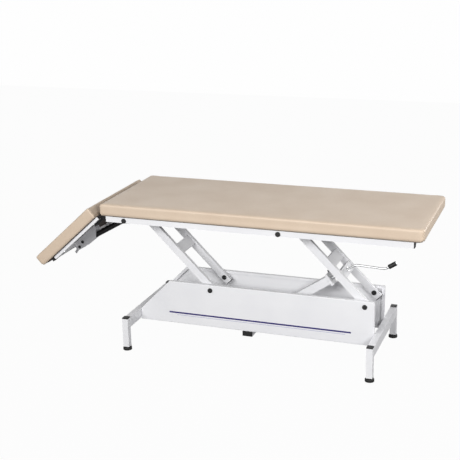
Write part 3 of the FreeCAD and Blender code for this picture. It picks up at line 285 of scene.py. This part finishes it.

# %% [markdown]
# ## The boards
# Each cushion sits on a board of dark brown hardboard: pressed wood fibre with one smooth face. Fine
# fibres lie every way in it, and long soft blotches follow the sheet. Its dark brown is partly painted
# shade: it gives the thin dark line under each cushion's edge, where the gap to the frame lies in shadow.

# %% Hardboard
def hardboard(name, light, dark):
    material, tree, shader, where = surface(name, Roughness=0.62, IOR=1.45)
    stretched = add(tree, "ShaderNodeMapping", {"Vector": where, "Scale": (1.0, 3.0, 3.0)}).outputs[0]
    fibres = noise(tree, stretched, millimetres=3, detail=5, roughness=0.7)
    blotches = noise(tree, where, millimetres=60, detail=3)
    both = add(tree, "ShaderNodeMath", {0: fibres, 1: blotches}, operation="MULTIPLY").outputs[0]
    tree.links.new(blend_colours(tree, spread(tree, both, 0.15, 0.4, 0.0, 1.0), dark, light),
                   shader.inputs["Base Color"])
    tree.links.new(relief(tree, fibres, strength=0.3, millimetres=0.15), shader.inputs["Normal"])
    return material


# the board's dark brown also serves as painted shade for the shadowed gap under each cushion
dark_board_painted_shade = hardboard("dark_hardboard_and_painted_shade", "#4A3C36", "#352A26")

# %% [markdown]
# ## Dress the nodes
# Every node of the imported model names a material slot. Most slots stand for one finish, so a table
# from slot to material does nearly all the work, and a second table names the few exceptions.

# %% Assign the finishes
BY_SLOT = {
    "white_powder_coat": white_coat, "grey_paint": grey_coat, "plated_steel": zinc,
    "dark_steel": black_steel, "black_plastic": black_plastic, "natural_plastic": white_nylon,
    "black_rubber": black_rubber, "dark_board": dark_board_painted_shade, "black_paint": black_paint,
    "beige_leatherette": leather,
}
BY_NODE = {"gas_rod": chrome}
for part in frame["record"]["subparts"]:
    target = frame["nodes"][part["node"]]
    material = BY_NODE.get(part["node"], BY_SLOT[part["material_slot"]])
    if not target.material_slots:
        target.data.materials.append(material)
    for place in target.material_slots:
        place.material = material

# %% [markdown]
# ## The cushions
# Each cushion is a slab of firm foam in a tight cover. A real one isn't a box: the cover's tension
# crowns the top a little, rounds the rims and pulls the long sides in between the corners. The slab
# starts as a block with bevelled corners and rims, is remeshed to even squares, and is then inflated
# for a moment by the cloth solver. A cap on how far each point may move keeps it a firm slab and not
# a balloon. The head cushion's four corners and the split between the two cushions are tight, and
# only the foot end of the main cushion has wide round corners.

# %% Shape a slab
MM = 0.001
# radii of the tight corners, of the foot end's wide corners and of the rims
TIGHT, WIDE, RIM = 4 * MM, 26 * MM, 3 * MM
# the cloth run's length in frames, and how it is blown up and held
FRAMES, PRESSURE, STIFFNESS, QUALITY = 20, 4.0, 25, 5


def slab(name, low, high, last_corner):
    obj = block(name, low, high)
    edit(obj)
    middle = (low[0] + high[0]) / 2
    for side, radius in ((-1, TIGHT), (1, last_corner)):
        count = choose(obj, "EDGE", lambda e: abs(e.verts[0].co.z - e.verts[1].co.z) > 0.01
                       and (e.verts[0].co.x - middle) * side > 0)
        bpy.ops.mesh.bevel(offset=radius, offset_type="OFFSET", segments=6, affect="EDGES")
        print(name, "corners:", count, "radius in mm:", round(radius * 1000))
    for place in (low[2], high[2]):
        choose(obj, "EDGE", lambda e: all(abs(v.co.z - place) < 1e-5 for v in e.verts)
               and any(abs(f.normal.z) < 0.5 for f in e.link_faces))
        bpy.ops.mesh.bevel(offset=RIM, segments=3, affect="EDGES")
    done()
    return obj


def inflate(obj, voxel, cap):
    # one short run of the cloth solver, with each point's move cut to the cap
    finish(obj, ("REMESH", {"mode": "VOXEL", "voxel_size": voxel}))
    rest = [v.co.copy() for v in obj.data.vertices]
    make_active(obj)
    modifier = obj.modifiers.new("Cloth", "CLOTH")
    modifier.settings.use_pressure = True
    modifier.settings.uniform_pressure_force = PRESSURE
    modifier.settings.effector_weights.gravity = 0
    modifier.settings.tension_stiffness = STIFFNESS
    modifier.settings.quality = QUALITY
    modifier.point_cache.frame_start = 1
    modifier.point_cache.frame_end = FRAMES
    for number in range(1, FRAMES + 1):
        bpy.context.scene.frame_set(number)
    bpy.ops.object.modifier_apply(modifier=modifier.name)
    bpy.context.scene.frame_set(1)
    largest = 0.0
    for vertex, start in zip(obj.data.vertices, rest):
        move = vertex.co - start
        if move.length > cap:
            move = move.normalized() * cap
        largest = max(largest, move.length)
        vertex.co = start + move
    print(obj.name, "inflated by up to", round(largest * 1000, 1), "mm")
    return obj


# %% [markdown]
# The solver leaves small lumps, which foam doesn't have, so the result is relaxed a little. Then
# simple rules finish the slab. The top rises in a shallow crown, the long sides draw in by a few
# millimetres towards their middle, and the underside lies flat on the board. Beyond the board's edge
# the cover reaches a few millimetres lower, because it wraps round that edge to its staples.

# %% Tension of the cover
RELAX = ("SMOOTH", {"factor": 0.5, "iterations": 2})
# points closer than this to the underside lie flat on the board
LYING = 2.5 * MM


def tighten(obj, low, high, crown, draw, board_low, board_high, wrap):
    finish(obj, RELAX)
    middle = [(a + b) / 2 for a, b in zip(low, high)]
    half = [(b - a) / 2 for a, b in zip(low, high)]
    wrapped = 0
    for vertex in obj.data.vertices:
        place = vertex.co
        along = (place.x - middle[0]) / half[0]
        across = (place.y - middle[1]) / half[1]
        up = min(max((place.z - low[2]) / (high[2] - low[2]), 0.0), 1.0)
        bulge = max(0.0, 1 - along ** 4) * max(0.0, 1 - across ** 4)
        place.z += crown * bulge * up
        place.y -= draw * across * max(0.0, 1 - along ** 2) * math.sin(math.pi * up)
        place.x = min(max(place.x, low[0] - MM), high[0] + MM)
        place.z = max(place.z, low[2])
        if place.z < low[2] + LYING:
            place.z = low[2]
            outside = (place.x < board_low[0] or place.x > board_high[0]
                       or place.y < board_low[1] or place.y > board_high[1])
            if outside:
                place.z -= wrap
                wrapped += 1
    make_active(obj)
    bpy.ops.object.shade_smooth()
    print(obj.name, "points:", len(obj.data.vertices), "of them wrapped round the board:", wrapped)
    return obj


# %% [markdown]
# The main cushion lies level, so it is modelled in place. The head cushion is modelled level in a
# frame of its own and then turned about the head hinge, the way the real one is made flat and then
# tilted. Its thickness and width are the main cushion's, because both are cut from the same foam.

# %% Main cushion
def dress(obj, node, body):
    obj.data.materials.append(leather)
    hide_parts(node)
    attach(obj, body)


# size of the squares, and the most that a point may swell
VOXEL, CAP = 6 * MM, 3 * MM
# how far the top rises, the sides draw in and the cover reaches round the board
CROWN, DRAW, WRAP = 1.5 * MM, 2 * MM, 4.5 * MM
# how much wider the slab starts on every side
SPARE = 1.5 * MM
main_low, main_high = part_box("main_cushion")
main_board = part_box("main_board")
print("main cushion solid:", [round(b - a, 4) for a, b in zip(main_low, main_high)])


def before_sewing(low, high):
    # room for the crown and the swelling on top; the sides start wider, as the cover pulls them in
    return ([low[0] - SPARE, low[1] - SPARE, low[2]],
            [high[0] + SPARE, high[1] + SPARE, high[2] - CROWN - MM])


main_pad = slab("main_cushion_cover", *before_sewing(main_low, main_high), WIDE)
inflate(main_pad, VOXEL, CAP)
tighten(main_pad, main_low, main_high, CROWN, DRAW, *main_board, WRAP)
dress(main_pad, "main_cushion", "top")

# %% Head cushion
def joint_place(name):
    # the point of the object that a joint turns about
    return Vector(next(j for j in frame["joints"] if j["name"] == name)["pos_m"])


# lengths and heights are measured from the hinge's axis, with the head section level
OUTER_END, INNER_END = -421 * MM, -5 * MM
BOARD_OUTER, BOARD_INNER = -400 * MM, -18 * MM
UNDERSIDE, TOP_FACE = 30.3 * MM, 84 * MM
TILT = math.radians(-42)
level_low = (OUTER_END, main_low[1], UNDERSIDE)
level_high = (INNER_END, main_high[1], TOP_FACE)
head_board = (BOARD_OUTER, main_board[0][1]), (BOARD_INNER, main_board[1][1])
head_pad = slab("head_cushion_cover", *before_sewing(level_low, level_high), TIGHT)
inflate(head_pad, VOXEL, CAP)
tighten(head_pad, level_low, level_high, CROWN, DRAW, *head_board, WRAP)
into_place = Matrix.Translation(joint_place("head_tilt")) @ Matrix.Rotation(TILT, 4, "Y")
head_pad.data.transform(into_place)
head_pad.data.update()
dress(head_pad, "head_cushion", "head")

# %% [markdown]
# ## Seams
# The cover is sewn from a top panel and four borders. The borders meet in an upright seam at each
# corner, where two layers are turned in and leave a fine raised ridge. Each ridge is a short cord laid
# on the finished surface: points are cast onto the cushion from outside, a curve goes through them,
# and the curve becomes a mesh.

# %% Seams at the corners
# a seam has a few points, from one share of the cushion's height over another share of it
SEAM_POINTS, SEAM_FOOT, SEAM_RISE = 9, 0.12, 0.76
# the ridge's radius, how far its middle stands out, and how far outside the casting starts
SEAM_RADIUS, PROUD, OUTSIDE = 0.9 * MM, 0.1 * MM, 50 * MM


def seam(name, pad, low, high, corner, turn, body):
    # corner gives the signs of the corner in x and y
    start = Vector([(high if sign > 0 else low)[axis] for axis, sign in enumerate(corner)] + [0.0])
    inwards = Vector((-corner[0], -corner[1], 0)).normalized()
    ray = turn.to_3x3() @ inwards
    points = []
    for step in range(SEAM_POINTS):
        share = SEAM_FOOT + SEAM_RISE * step / (SEAM_POINTS - 1)
        height = low[2] + (high[2] - low[2]) * share
        origin = Vector((start.x, start.y, height)) - inwards * OUTSIDE
        hit, place, _, _ = pad.ray_cast(turn @ origin, ray)
        if hit:
            points.append(place - ray * PROUD)
    curve = bpy.data.curves.new(name, "CURVE")
    curve.dimensions = "3D"
    line = curve.splines.new("POLY")
    line.points.add(len(points) - 1)
    for spot, place in zip(line.points, points):
        spot.co = (*place, 1)
    curve.bevel_depth = SEAM_RADIUS
    curve.bevel_resolution = 3
    curve.use_fill_caps = True
    obj = bpy.data.objects.new(name, curve)
    bpy.context.scene.collection.objects.link(obj)
    make_active(obj)
    bpy.ops.object.convert(target="MESH")
    obj = bpy.context.object
    bpy.ops.object.shade_smooth()
    obj.data.materials.append(leather)
    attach(obj, body)
    return len(points)


flat = Matrix.Identity(4)
for pad, low, high, turn, body in ((main_pad, main_low, main_high, flat, "top"),
                                   (head_pad, level_low, level_high, into_place, "head")):
    pad.data.update()
    bpy.context.view_layer.update()
    for x_sign, end in ((-1, "outer"), (1, "inner")):
        for y_sign, side in ((-1, "near"), (1, "far")):
            name = "seam_%s_%s_%s" % (body, end, side)
            print(name, "points:", seam(name, pad, low, high, (x_sign, y_sign), turn, body))

# %% [markdown]
# ## Film stripes
# Each side panel carries two plain stripes of coloured vinyl film, one wide and one narrow. Cast
# vinyl is smooth and a little glossier than the paint under it. The strips are three tenths of a
# millimetre thick, with softened edges, and lie on the panel's face.

# %% Vinyl film
def film(name, first, second, roughness):
    material, tree, shader, where = surface(name, Roughness=roughness, IOR=1.5)
    cloudy = noise(tree, where, millimetres=40, detail=2)
    tree.links.new(blend_colours(tree, cloudy, first, second), shader.inputs["Base Color"])
    return material


blue_film = film("blue_vinyl_film", "#2A1F66", "#302572", 0.28)
pale_film = film("pale_vinyl_film", "#9A9AC0", "#A2A2C6", 0.3)

# %% Stripes on the side panels
# the film's thickness, the width of its rim and the radius of its edges
FILM_THICK, FILM_RIM, FILM_EDGE = 0.3 * MM, 0.2 * MM, 0.1 * MM
# each stripe's kind, level over the floor, width, distances from the panel's two ends, and film
STRIPES = (("wide", 164 * MM, 8 * MM, 156 * MM, 110 * MM, blue_film),
           ("narrow", 152.5 * MM, 2 * MM, 198 * MM, 138 * MM, pale_film))
for side, sign in (("near", -1), ("far", 1)):
    panel_low, panel_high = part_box("side_panel_" + side)
    face = (panel_low if sign < 0 else panel_high)[1]
    ys = sorted((face, face + sign * FILM_THICK))
    for kind, level, wide, from_left, from_right, made_of in STRIPES:
        strip = block("stripe_%s_%s" % (kind, side),
                      (panel_low[0] + from_left, ys[0], level - wide / 2),
                      (panel_high[0] - from_right, ys[1], level + wide / 2))
        edit(strip)
        choose(strip, "FACE", lambda f: f.normal.y * sign > 0.9)
        bpy.ops.mesh.inset(thickness=FILM_RIM, depth=0.0)
        done()
        finish(strip, ("BEVEL", {"width": FILM_EDGE, "segments": 2}))
        strip.data.materials.append(made_of)
        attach(strip, "base")
print("stripes on both panels")

# %% [markdown]
# ## Weld beads
# Where one tube ends against another, the real frame has a bead of weld under the paint: a low,
# rippled ridge round the joint. Each bead here starts as a rectangle round the tube's end, becomes a
# thin round rope along that line, and gets its ripples from a displacement by a fine cloud texture.

# %% Beads round the tubes' ends
# the bead's radius, the size of its squares, and the ripples' height and distance
BEAD_RADIUS, BEAD_SQUARES, RIPPLE_HIGH, RIPPLE_APART = 2.0 * MM, 1.3 * MM, 1.2 * MM, 3.5 * MM
ripple = bpy.data.textures.new("weld_ripple", "CLOUDS")
ripple.noise_scale = RIPPLE_APART


def bead(name, face_y, low, high):
    # low and high are the x and z limits of the tube's outline, in the plane of its end face
    deselect()
    middle = ((low[0] + high[0]) / 2, face_y, (low[1] + high[1]) / 2)
    bpy.ops.mesh.primitive_plane_add(size=1, location=middle, rotation=(math.pi / 2, 0, 0))
    obj = bpy.context.object
    obj.scale = (high[0] - low[0], high[1] - low[1], 1)
    settle(obj, name)
    edit(obj, "FACE")
    bpy.ops.mesh.select_all(action="SELECT")
    bpy.ops.mesh.delete(type="ONLY_FACE")
    done()
    bpy.ops.object.convert(target="CURVE")
    obj.data.bevel_depth = BEAD_RADIUS
    obj.data.bevel_resolution = 2
    bpy.ops.object.convert(target="MESH")
    obj = bpy.context.object
    finish(obj, ("REMESH", {"mode": "VOXEL", "voxel_size": BEAD_SQUARES}),
           ("DISPLACE", {"texture": ripple, "strength": RIPPLE_HIGH, "mid_level": 0.5}),
           RELAX)
    bpy.ops.object.shade_smooth()
    return obj


def gather(name, pieces, body, turn=None):
    # the beads of one body become one piece, painted like the tubes
    deselect()
    for piece in pieces:
        piece.select_set(True)
    bpy.context.view_layer.objects.active = pieces[0]
    bpy.ops.object.join()
    obj = bpy.context.object
    obj.name = obj.data.name = name
    if turn is not None:
        obj.data.transform(turn)
    obj.data.materials.clear()
    obj.data.materials.append(white_coat)
    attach(obj, body)
    print(name, "faces:", len(obj.data.polygons))


def end_beads(name, *tubes):
    # a bead at either end of each tube that lies across the table
    beads = []
    for tube in tubes:
        low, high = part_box(tube)
        for y in (low[1], high[1]):
            beads.append(bead(name, y, (low[0], low[2]), (high[0], high[2])))
    return beads


posts = end_beads("post_bead", "foot_crossbar_left", "foot_crossbar_right")
gather("weld_beads_base", posts, "base")
rails = end_beads("rail_bead", "top_head_end_tube", "top_foot_end_tube")
gather("weld_beads_top", rails, "top")

# %% [markdown]
# An arm's cross tube lies askew, so its beads are made level, round the tube's own outline measured
# from the arm's lower pivot, and are then turned by 45 degrees about that pivot with the arm.

# %% Beads on the arms
ARM_SLOPE = math.radians(45)
# where the cross tube's middle lies along the arm, and half of its width, height and length
TUBE_ALONG, HALF_WIDE, HALF_HIGH, HALF_LONG = -255.5 * MM, 27.5 * MM, 12.5 * MM, 78 * MM
lowest, highest = (TUBE_ALONG - HALF_WIDE, -HALF_HIGH), (TUBE_ALONG + HALF_WIDE, HALF_HIGH)
for arm, joint_name in (("arm_left", "lift"), ("arm_right", "arm_right_swing")):
    beads = [bead("arm_bead", y, lowest, highest) for y in (-HALF_LONG, HALF_LONG)]
    on_arm = Matrix.Translation(joint_place(joint_name)) @ Matrix.Rotation(ARM_SLOPE, 4, "Y")
    gather("weld_beads_" + arm, beads, arm, on_arm)

# %% [markdown]
# ## The spindle's thread and a screw on its nut
# The spindle has a right-hand trapezoidal thread with a pitch of 5 mm, which is what makes the crank
# so easy to turn. Its ridge is a small profile swept by the Screw modifier along the spindle. The nut
# block carries one small dark socket screw on its upper face.

# %% Thread
SPINDLE_SLOPE = math.radians(-33.5)
PITCH, TURNS, THREAD_START = 5 * MM, 47, -256 * MM
# the spindle's radius, the ridge's width and height, and how much narrower its crest is
CORE, RIDGE_WIDE, RIDGE_HIGH, CREST = 8 * MM, 2.6 * MM, 1.6 * MM, 0.6
on_spindle = Matrix.Translation(joint_place("crank_spin")) @ Matrix.Rotation(SPINDLE_SLOPE, 4, "Y")
deselect()
bpy.ops.mesh.primitive_plane_add(size=1, location=(THREAD_START, 0, CORE),
                                 rotation=(math.pi / 2, 0, 0))
thread = bpy.context.object
thread.scale = (RIDGE_WIDE, RIDGE_HIGH, 1)
settle(thread, "spindle_thread")
for vertex in thread.data.vertices:
    if vertex.co.z > CORE:
        vertex.co.x = THREAD_START + (vertex.co.x - THREAD_START) * CREST
finish(thread, ("SCREW", {"axis": "X", "screw_offset": PITCH, "iterations": TURNS, "steps": 20,
                          "render_steps": 20, "use_merge_vertices": True,
                          "use_normal_calculate": True}))
thread.data.transform(on_spindle)
thread.data.materials.append(zinc)
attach(thread, "crank")
print("thread faces:", len(thread.data.polygons), "length in mm:", round(PITCH * TURNS * 1000))

# %% Screw on the nut
SCREW_PLACE, SCREW_RADIUS, SCREW_LONG = (-87 * MM, 24 * MM, 33.5 * MM), 4.5 * MM, 11 * MM
SOFT_EDGE, SOCKET_WALL, SOCKET_DEEP = 0.8 * MM, 1.6 * MM, 3 * MM
deselect()
bpy.ops.mesh.primitive_cylinder_add(vertices=32, radius=SCREW_RADIUS, depth=SCREW_LONG,
                                    location=SCREW_PLACE)
screw = settle(bpy.context.object, "nut_lock_screw")
below_top = SCREW_PLACE[2] + SCREW_LONG / 2 - MM
edit(screw)
choose(screw, "EDGE", lambda e: all(v.co.z > below_top for v in e.verts))
bpy.ops.mesh.bevel(offset=SOFT_EDGE, segments=2, affect="EDGES")
bpy.ops.mesh.select_mode(type="FACE")
choose(screw, "FACE", lambda f: f.normal.z > 0.95 and len(f.verts) > 8)
bpy.ops.mesh.inset(thickness=SOCKET_WALL, depth=0.0)
bpy.ops.mesh.extrude_region_move(TRANSFORM_OT_translate={"value": (0, 0, -SOCKET_DEEP)})
done()
screw.data.transform(on_spindle)
screw.data.materials.append(black_steel)
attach(screw, "strut")
print("screw faces:", len(screw.data.polygons))

# %% [markdown]
# ## Camera
# The picture was taken from the foot end's near side, from above the table's top: the camera looks
# 20 degrees to the left of straight across and 17 degrees down, from about five metres away, with
# a portrait lens. A slight roll matches the way the picture leans.

# %% Camera
yaw, pitch, roll = math.radians(20.418), math.radians(17.10), math.radians(-1.296)
camera_data = bpy.data.cameras.new("studio_camera")
camera_data.sensor_width = 36
camera_data.lens = 79.93
camera = bpy.data.objects.new("studio_camera", camera_data)
bpy.context.scene.collection.objects.link(camera)
standpoint = (1.63174, -4.49659, 2.05629)
turn = Matrix.Rotation(yaw, 4, "Z") @ Matrix.Rotation(math.pi / 2 - pitch, 4, "X")
turn = turn @ Matrix.Rotation(roll, 4, "Z")
camera.matrix_world = Matrix.Translation(standpoint) @ turn
bpy.context.scene.camera = camera
print("camera at", tuple(round(c, 3) for c in camera.location))

# %% [markdown]
# ## Floor and light
# A cut-out look needs a white background but not more light on the table. The world therefore shows
# plain white to the camera and to reflections, and adds only a little light of its own. The floor
# is a mid grey that shows almost white to the camera, so it throws little light up under the table
# and darkens only a little where the table shades it. Five soft lamps do the rest. The strongest
# stands beside the camera and lights the near side more than the top, as in the photograph.

# %% World
# the background's white, and the share of it that lights the table
WHITE, ROOM_LIGHT = "#FEFEFE", 0.09
world = bpy.data.worlds.new("studio")
bpy.context.scene.world = world
world.use_nodes = True
tree = world.node_tree
tree.nodes.clear()
path = add(tree, "ShaderNodeLightPath").outputs
seen = add(tree, "ShaderNodeMath", {0: path["Is Camera Ray"], 1: path["Is Glossy Ray"]},
           operation="MAXIMUM")
seen = add(tree, "ShaderNodeMath", {0: seen.outputs[0], 1: path["Is Transmission Ray"]},
           operation="MAXIMUM")
strength = spread(tree, seen.outputs[0], 0.0, 1.0, ROOM_LIGHT, 1.0)
sky = add(tree, "ShaderNodeBackground", {"Color": colour(WHITE), "Strength": strength})
add(tree, "ShaderNodeOutputWorld", {"Surface": sky.outputs[0]})
print("background", WHITE, "share of it that lights the table:", ROOM_LIGHT)

# %% Floor
# how much of plain white the camera sees in the floor
CAMERA_WHITE = 0.98
deselect()
bpy.ops.mesh.primitive_plane_add(size=14, location=(0, 0, 0))
floor = settle(bpy.context.object, "floor")
pale = bpy.data.materials.new("pale_studio_floor")
pale.use_nodes = True
tree = pale.node_tree
shader = tree.nodes["Principled BSDF"]
shader.inputs["Roughness"].default_value = 0.9
coordinates = add(tree, "ShaderNodeTexCoord").outputs["Object"]
cloudy = noise(tree, coordinates, millimetres=300, detail=2)
tree.links.new(blend_colours(tree, cloudy, "#868686", "#828282"), shader.inputs["Base Color"])
path = add(tree, "ShaderNodeLightPath").outputs
white = add(tree, "ShaderNodeEmission", {"Color": colour(WHITE), "Strength": 1.0})
part_white = add(tree, "ShaderNodeMath", {0: path["Is Camera Ray"], 1: CAMERA_WHITE},
                 operation="MULTIPLY")
mixed = add(tree, "ShaderNodeMixShader", {0: part_white.outputs[0], 1: shader.outputs[0],
            2: white.outputs[0]})
tree.links.new(mixed.outputs[0], tree.nodes["Material Output"].inputs["Surface"])
floor.data.materials.append(pale)


# %% Lamps
def lamp(name, where_from, aim, size, watts):
    data = bpy.data.lights.new(name, "AREA")
    data.shape = "RECTANGLE"
    data.size, data.size_y = size
    data.energy = watts
    obj = bpy.data.objects.new(name, data)
    bpy.context.scene.collection.objects.link(obj)
    obj.location = where_from
    obj.rotation_euler = (Vector(aim) - Vector(where_from)).to_track_quat("-Z", "Y").to_euler()


lamp("key", (-0.8, -4.4, 2.2), (0.1, 0.0, 0.5), (2.4, 1.3), 143)
lamp("side", (2.6, -3.8, 2.1), (0.2, 0.0, 0.5), (1.4, 1.0), 80)
lamp("fill", (3.7, -0.6, 2.5), (0.3, 0.0, 0.6), (1.6, 1.6), 66)
lamp("top", (-0.4, 0.2, 3.4), (-0.2, 0.0, 0.5), (2.4, 1.4), 9)
lamp("back", (3.4, 3.2, 1.5), (0.2, 0.0, 0.4), (1.8, 1.2), 50)
bpy.context.scene.view_settings.view_transform = "Standard"
